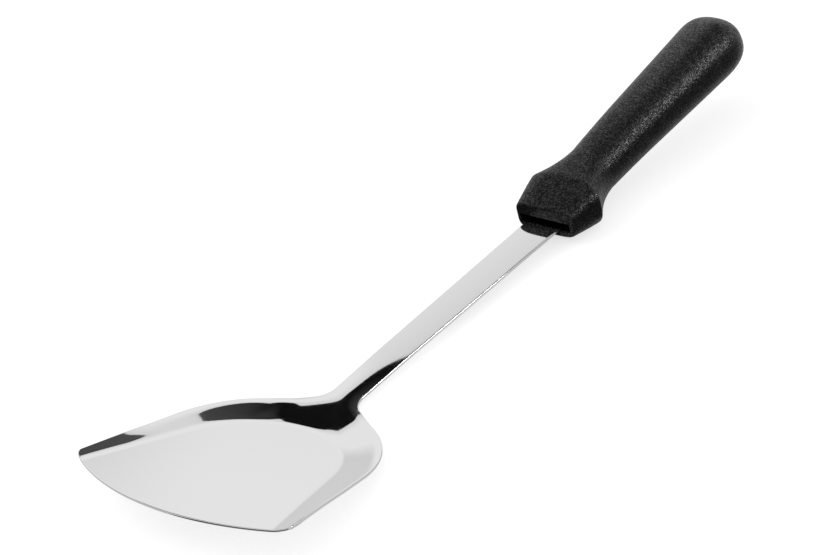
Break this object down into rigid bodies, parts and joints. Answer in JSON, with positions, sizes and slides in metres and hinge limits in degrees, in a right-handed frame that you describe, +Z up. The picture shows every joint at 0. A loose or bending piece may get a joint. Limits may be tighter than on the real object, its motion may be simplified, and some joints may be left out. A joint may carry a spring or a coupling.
{
  "type": "wok spatula",
  "caption": "Wok spatula: a bowed, shallow-rimmed stainless blade on a slim rising shank, with a tapered black moulded handle and a flared square collar, lying on its heel.",
  "frame": {"origin": "the middle of the spatula's footprint, on the table that it lies on", "axes": "+Z up from the table, +Y along the spatula from the blade's front edge to the butt of the handle, +X to the right seen from the blade"},
  "size_m": [0.102, 0.3802, 0.0415],
  "materials": {
    "polished_stainless": "mirror-polished stainless sheet, pressed in one piece",
    "black_polypropylene": "black moulded polypropylene with a fine spark-eroded grain"
  },
  "bodies": {
    "root": {"blade_and_shank": "polished_stainless", "handle": "black_polypropylene"}
  },
  "joints": []
}
